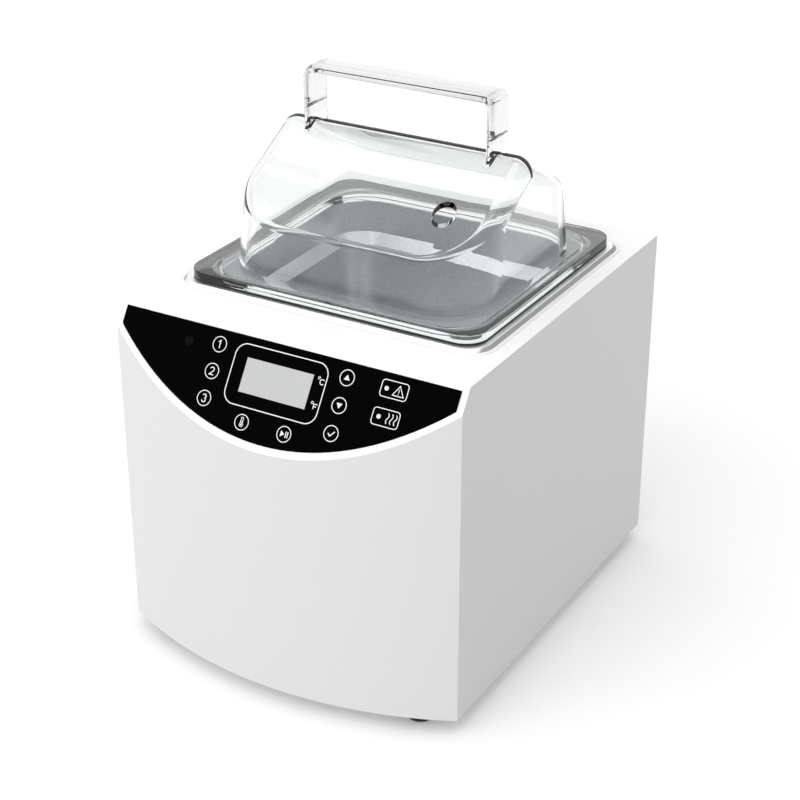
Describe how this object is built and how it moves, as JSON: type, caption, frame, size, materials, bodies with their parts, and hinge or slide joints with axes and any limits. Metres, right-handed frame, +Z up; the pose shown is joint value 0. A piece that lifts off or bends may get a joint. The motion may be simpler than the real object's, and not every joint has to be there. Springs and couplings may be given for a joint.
{
  "type": "thermostatic water bath",
  "caption": "Bench-top laboratory water bath: white box housing with a bowed front, drawn steel pan, sloped key panel and a clear domed lift-off lid with a bridge handle.",
  "frame": {"origin": "centre of the footprint at bench level, under the middle of the width and of the overall depth with the rear switch's rocker included", "axes": "+X to the right seen from the front, +Y towards the rear wall, +Z up"},
  "size_m": [0.195, 0.2458, 0.2889],
  "materials": {
    "white_paint": "semi-gloss white powder coat",
    "zinc_sheet": "zinc-plated sheet",
    "black_rubber": "matt",
    "screw_steel": "plated",
    "pan_steel": "satin stainless",
    "pale_gasket": "pale grey, matt",
    "heater_rubber": "red silicone",
    "foam": "closed-cell foam",
    "black_plastic": "fine satin",
    "overlay_black": "black printed film",
    "display_grey": "pale unlit display window",
    "board_green": "solder mask",
    "brass_posts": "plated brass",
    "lamp_clear": "clear lens, unlit",
    "lens_dark": "dark lens",
    "core_steel": "lacquered",
    "relay_blue": "moulded",
    "bare_aluminium": "bare",
    "terminal_green": "moulded",
    "rocker_black": "satin",
    "clear_plastic": "clear polished acrylic",
    "seal_grey": "dark grey silicone"
  },
  "bodies": {
    "housing": {"body_shell": "white_paint", "base_plate": "zinc_sheet", "side_rails": "zinc_sheet", "foot_front_left": "black_rubber", "foot_front_right": "black_rubber", "foot_rear_left": "black_rubber", "foot_rear_right": "black_rubber", "foot_screws": "screw_steel", "base_screws": "screw_steel", "bath_pan": "pan_steel", "pan_gasket": "pale_gasket", "pan_nuts": "screw_steel", "heater_mat": "heater_rubber", "pan_insulation": "foam", "under_insulation": "foam", "temperature_sensor": "pan_steel", "sensor_clip": "zinc_sheet", "thermal_cutout": "black_plastic", "panel_overlay": "overlay_black", "display_window": "display_grey", "display_module": "black_plastic", "control_board": "board_green", "board_standoffs": "brass_posts", "board_screws": "screw_steel", "key_switches": "black_plastic", "warning_lamp": "lamp_clear", "heating_lamp": "lamp_clear", "status_lens": "lens_dark", "power_board": "board_green", "power_posts": "brass_posts", "transformer": "core_steel", "relay": "relay_blue", "heatsink": "bare_aluminium", "capacitors": "black_plastic", "fuse": "zinc_sheet", "terminal_block": "terminal_green", "mains_inlet": "black_plastic", "inlet_pins": "brass_posts", "inlet_screws": "screw_steel", "switch_housing": "black_plastic"},
    "lid": {"lid_shell": "clear_plastic", "lid_seal": "seal_grey", "lid_handle": "clear_plastic"},
    "rocker": {"power_rocker": "rocker_black"},
    "key_1_cap": {"key_1": "overlay_black"},
    "key_2_cap": {"key_2": "overlay_black"},
    "key_3_cap": {"key_3": "overlay_black"},
    "key_temperature_cap": {"key_temperature": "overlay_black"},
    "key_run_cap": {"key_run": "overlay_black"},
    "key_confirm_cap": {"key_confirm": "overlay_black"},
    "key_up_cap": {"key_up": "overlay_black"},
    "key_down_cap": {"key_down": "overlay_black"}
  },
  "joints": [
    {"name": "lid_lift", "type": "slide", "parent": "housing", "child": "lid", "axis": [0, 0, 1], "range_m": [0, 0.15]},
    {"name": "key_1_press", "type": "slide", "parent": "housing", "child": "key_1_cap", "axis": [0, 0.8339, -0.5519], "range_m": [0, 0.0005], "stiffness_N_per_m": 600},
    {"name": "key_2_press", "type": "slide", "parent": "housing", "child": "key_2_cap", "axis": [0, 0.8339, -0.5519], "range_m": [0, 0.0005], "stiffness_N_per_m": 600},
    {"name": "key_3_press", "type": "slide", "parent": "housing", "child": "key_3_cap", "axis": [0, 0.8339, -0.5519], "range_m": [0, 0.0005], "stiffness_N_per_m": 600},
    {"name": "key_temperature_press", "type": "slide", "parent": "housing", "child": "key_temperature_cap", "axis": [0, 0.8339, -0.5519], "range_m": [0, 0.0005], "stiffness_N_per_m": 600},
    {"name": "key_run_press", "type": "slide", "parent": "housing", "child": "key_run_cap", "axis": [0, 0.8339, -0.5519], "range_m": [0, 0.0005], "stiffness_N_per_m": 600},
    {"name": "key_confirm_press", "type": "slide", "parent": "housing", "child": "key_confirm_cap", "axis": [0, 0.8339, -0.5519], "range_m": [0, 0.0005], "stiffness_N_per_m": 600},
    {"name": "key_up_press", "type": "slide", "parent": "housing", "child": "key_up_cap", "axis": [0, 0.8339, -0.5519], "range_m": [0, 0.0005], "stiffness_N_per_m": 600},
    {"name": "key_down_press", "type": "slide", "parent": "housing", "child": "key_down_cap", "axis": [0, 0.8339, -0.5519], "range_m": [0, 0.0005], "stiffness_N_per_m": 600},
    {"name": "rocker_switch", "type": "hinge", "parent": "housing", "child": "rocker", "pos_m": [-0.045, 0.11715, 0.042], "axis": [-1, 0, 0], "range_deg": [0, 20]}
  ]
}
